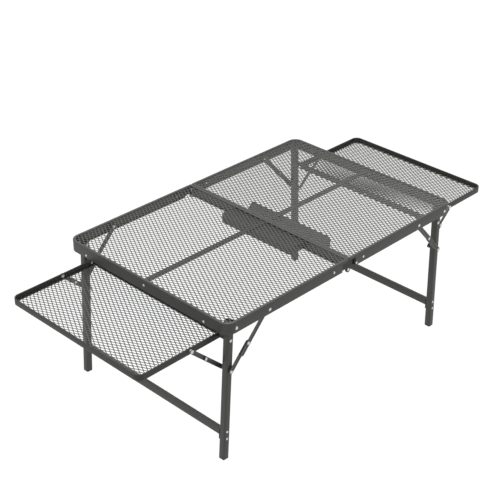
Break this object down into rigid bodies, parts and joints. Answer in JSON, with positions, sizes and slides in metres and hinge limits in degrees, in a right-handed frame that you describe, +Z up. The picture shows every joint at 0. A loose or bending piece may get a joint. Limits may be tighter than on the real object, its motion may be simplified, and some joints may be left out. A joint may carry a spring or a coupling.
{
  "type": "folding grill table",
  "caption": "Low folding grill table with an expanded-metal top in two hinged halves, folding braced legs and a folding net shelf at each end.",
  "frame": {"origin": "on the floor, under the middle of the open table", "axes": "+X along the table from the left half to the right half, +Y from the near side to the far side, +Z up"},
  "size_m": [1.3698, 0.6028, 0.425],
  "materials": {
    "frame_paint": "satin charcoal powder coat on the rails, legs and crossbars",
    "shelf_paint": "darker charcoal powder coat on the shelf rails",
    "net_paint": "charcoal powder coat on expanded steel net",
    "link_paint": "charcoal powder coat on stamped links",
    "leaf_paint": "black coat on the seam's hinge leaves",
    "bright_steel": "bright zinc-plated rivets and bolts",
    "black_plastic": "black moulded caps and bushes"
  },
  "bodies": {
    "left_half": {"left_top_frame": "frame_paint", "left_top_net": "net_paint", "left_centre_bar": "frame_paint", "left_seam_plate": "frame_paint", "left_hinge_leaves": "leaf_paint", "left_rail_rivets": "bright_steel", "left_leg_pivots": "bright_steel", "left_knee_pivots": "bright_steel", "left_rail_bushes": "black_plastic", "hinge_pins": "bright_steel"},
    "left_legs": {"left_near_leg": "frame_paint", "left_far_leg": "frame_paint", "left_foot_caps": "black_plastic", "left_crossbar": "frame_paint", "left_crossbar_rivets": "bright_steel", "left_brace_bolts": "bright_steel", "left_leg_bushes": "black_plastic", "left_shelf_pivots": "bright_steel"},
    "left_knee_uppers": {"left_knee_upper_links": "link_paint", "left_knee_rivets": "bright_steel"},
    "left_knee_lowers": {"left_knee_lower_links": "link_paint", "left_knee_rivet_tails": "bright_steel"},
    "left_shelf": {"left_shelf_frame": "shelf_paint", "left_shelf_net": "net_paint", "left_shelf_rivets": "bright_steel", "left_brace_pivots": "bright_steel"},
    "left_brace_lowers": {"left_brace_lower_links": "link_paint", "left_brace_rivets": "bright_steel"},
    "left_brace_uppers": {"left_brace_upper_links": "link_paint", "left_brace_rivet_tails": "bright_steel"},
    "right_half": {"right_top_frame": "frame_paint", "right_top_net": "net_paint", "right_centre_bar": "frame_paint", "right_seam_plate": "frame_paint", "right_hinge_leaves": "leaf_paint", "right_rail_rivets": "bright_steel", "right_leg_pivots": "bright_steel", "right_knee_pivots": "bright_steel", "right_rail_bushes": "black_plastic"},
    "right_legs": {"right_near_leg": "frame_paint", "right_far_leg": "frame_paint", "right_foot_caps": "black_plastic", "right_crossbar": "frame_paint", "right_crossbar_rivets": "bright_steel", "right_brace_bolts": "bright_steel", "right_leg_bushes": "black_plastic", "right_shelf_pivots": "bright_steel"},
    "right_knee_uppers": {"right_knee_upper_links": "link_paint", "right_knee_rivets": "bright_steel"},
    "right_knee_lowers": {"right_knee_lower_links": "link_paint", "right_knee_rivet_tails": "bright_steel"},
    "right_shelf": {"right_shelf_frame": "shelf_paint", "right_shelf_net": "net_paint", "right_shelf_rivets": "bright_steel", "right_brace_pivots": "bright_steel"},
    "right_brace_lowers": {"right_brace_lower_links": "link_paint", "right_brace_rivets": "bright_steel"},
    "right_brace_uppers": {"right_brace_upper_links": "link_paint", "right_brace_rivet_tails": "bright_steel"}
  },
  "joints": [
    {"name": "top_fold", "type": "hinge", "parent": "left_half", "child": "right_half", "pos_m": [0, 0, 0.3905], "axis": [0, 1, 0], "range_deg": [0, 90]},
    {"name": "left_leg_fold", "type": "hinge", "parent": "left_half", "child": "left_legs", "pos_m": [-0.418, 0, 0.405], "axis": [0, -1, 0], "range_deg": [0, 92.46]},
    {"name": "left_knee_upper_turn", "type": "hinge", "parent": "left_half", "child": "left_knee_uppers", "pos_m": [-0.301, 0, 0.405], "axis": [0, -1, 0], "range_deg": [0, 132.8]},
    {"name": "left_knee_lower_turn", "type": "hinge", "parent": "left_legs", "child": "left_knee_lowers", "pos_m": [-0.42371, 0, 0.27212], "axis": [0, -1, 0], "range_deg": [-139.8, 0]},
    {"name": "left_shelf_fold", "type": "hinge", "parent": "left_legs", "child": "left_shelf", "pos_m": [-0.41993, 0, 0.36004], "axis": [0, -1, 0], "range_deg": [0, 87.54]},
    {"name": "left_brace_lower_turn", "type": "hinge", "parent": "left_legs", "child": "left_brace_lowers", "pos_m": [-0.42371, 0, 0.27212], "axis": [0, -1, 0], "range_deg": [0, 130.3]},
    {"name": "left_brace_upper_turn", "type": "hinge", "parent": "left_shelf", "child": "left_brace_uppers", "pos_m": [-0.51893, 0, 0.36004], "axis": [0, -1, 0], "range_deg": [-137.3, 0]},
    {"name": "right_leg_fold", "type": "hinge", "parent": "right_half", "child": "right_legs", "pos_m": [0.418, 0, 0.405], "axis": [0, 1, 0], "range_deg": [0, 92.46]},
    {"name": "right_knee_upper_turn", "type": "hinge", "parent": "right_half", "child": "right_knee_uppers", "pos_m": [0.301, 0, 0.405], "axis": [0, 1, 0], "range_deg": [0, 132.8]},
    {"name": "right_knee_lower_turn", "type": "hinge", "parent": "right_legs", "child": "right_knee_lowers", "pos_m": [0.42371, 0, 0.27212], "axis": [0, 1, 0], "range_deg": [-139.8, 0]},
    {"name": "right_shelf_fold", "type": "hinge", "parent": "right_legs", "child": "right_shelf", "pos_m": [0.41993, 0, 0.36004], "axis": [0, 1, 0], "range_deg": [0, 87.54]},
    {"name": "right_brace_lower_turn", "type": "hinge", "parent": "right_legs", "child": "right_brace_lowers", "pos_m": [0.42371, 0, 0.27212], "axis": [0, 1, 0], "range_deg": [0, 130.3]},
    {"name": "right_brace_upper_turn", "type": "hinge", "parent": "right_shelf", "child": "right_brace_uppers", "pos_m": [0.51893, 0, 0.36004], "axis": [0, 1, 0], "range_deg": [-137.3, 0]}
  ],
  "couplings": [
    {"joint": "left_knee_upper_turn", "follows": "left_leg_fold", "ratio": 1.4354},
    {"joint": "left_knee_lower_turn", "follows": "left_leg_fold", "ratio": -1.5113},
    {"joint": "left_brace_lower_turn", "follows": "left_shelf_fold", "ratio": 1.488},
    {"joint": "left_brace_upper_turn", "follows": "left_shelf_fold", "ratio": -1.5682},
    {"joint": "right_knee_upper_turn", "follows": "right_leg_fold", "ratio": 1.4354},
    {"joint": "right_knee_lower_turn", "follows": "right_leg_fold", "ratio": -1.5113},
    {"joint": "right_brace_lower_turn", "follows": "right_shelf_fold", "ratio": 1.488},
    {"joint": "right_brace_upper_turn", "follows": "right_shelf_fold", "ratio": -1.5682}
  ]
}
